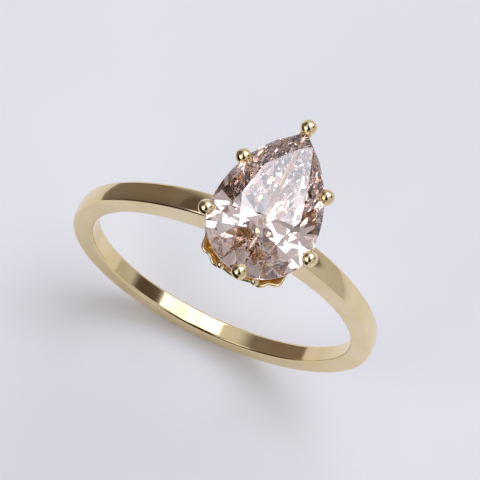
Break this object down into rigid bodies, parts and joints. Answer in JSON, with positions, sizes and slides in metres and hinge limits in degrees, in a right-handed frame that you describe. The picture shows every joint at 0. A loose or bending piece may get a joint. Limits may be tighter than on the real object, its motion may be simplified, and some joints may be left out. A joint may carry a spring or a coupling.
{
  "type": "engagement ring",
  "caption": "Gold solitaire ring with a slim flat band, a lotus-petal head with ball-ended prongs, and a pear-cut champagne stone.",
  "frame": {"origin": "centre of the finger hole", "axes": "+Y along the finger hole, towards the stone's point; +Z from the hole's centre up to the stone; +X across the band"},
  "size_m": [0.0192, 0.0106, 0.0254],
  "materials": {
    "yellow_gold": "polished 14k yellow gold",
    "champagne_diamond": "faceted, polished"
  },
  "bodies": {
    "root": {"shank": "yellow_gold", "head_base": "yellow_gold", "lower_gallery_bars": "yellow_gold", "upper_gallery_bars": "yellow_gold", "prong_tip": "yellow_gold", "prong_left_shoulder": "yellow_gold", "prong_right_shoulder": "yellow_gold", "prong_left_belly": "yellow_gold", "prong_right_belly": "yellow_gold", "prong_heel": "yellow_gold", "petal_left_tip": "yellow_gold", "petal_right_tip": "yellow_gold", "petal_left_side": "yellow_gold", "petal_right_side": "yellow_gold", "petal_left_heel": "yellow_gold", "petal_right_heel": "yellow_gold", "petal_beads": "yellow_gold", "center_stone": "champagne_diamond"}
  },
  "joints": []
}
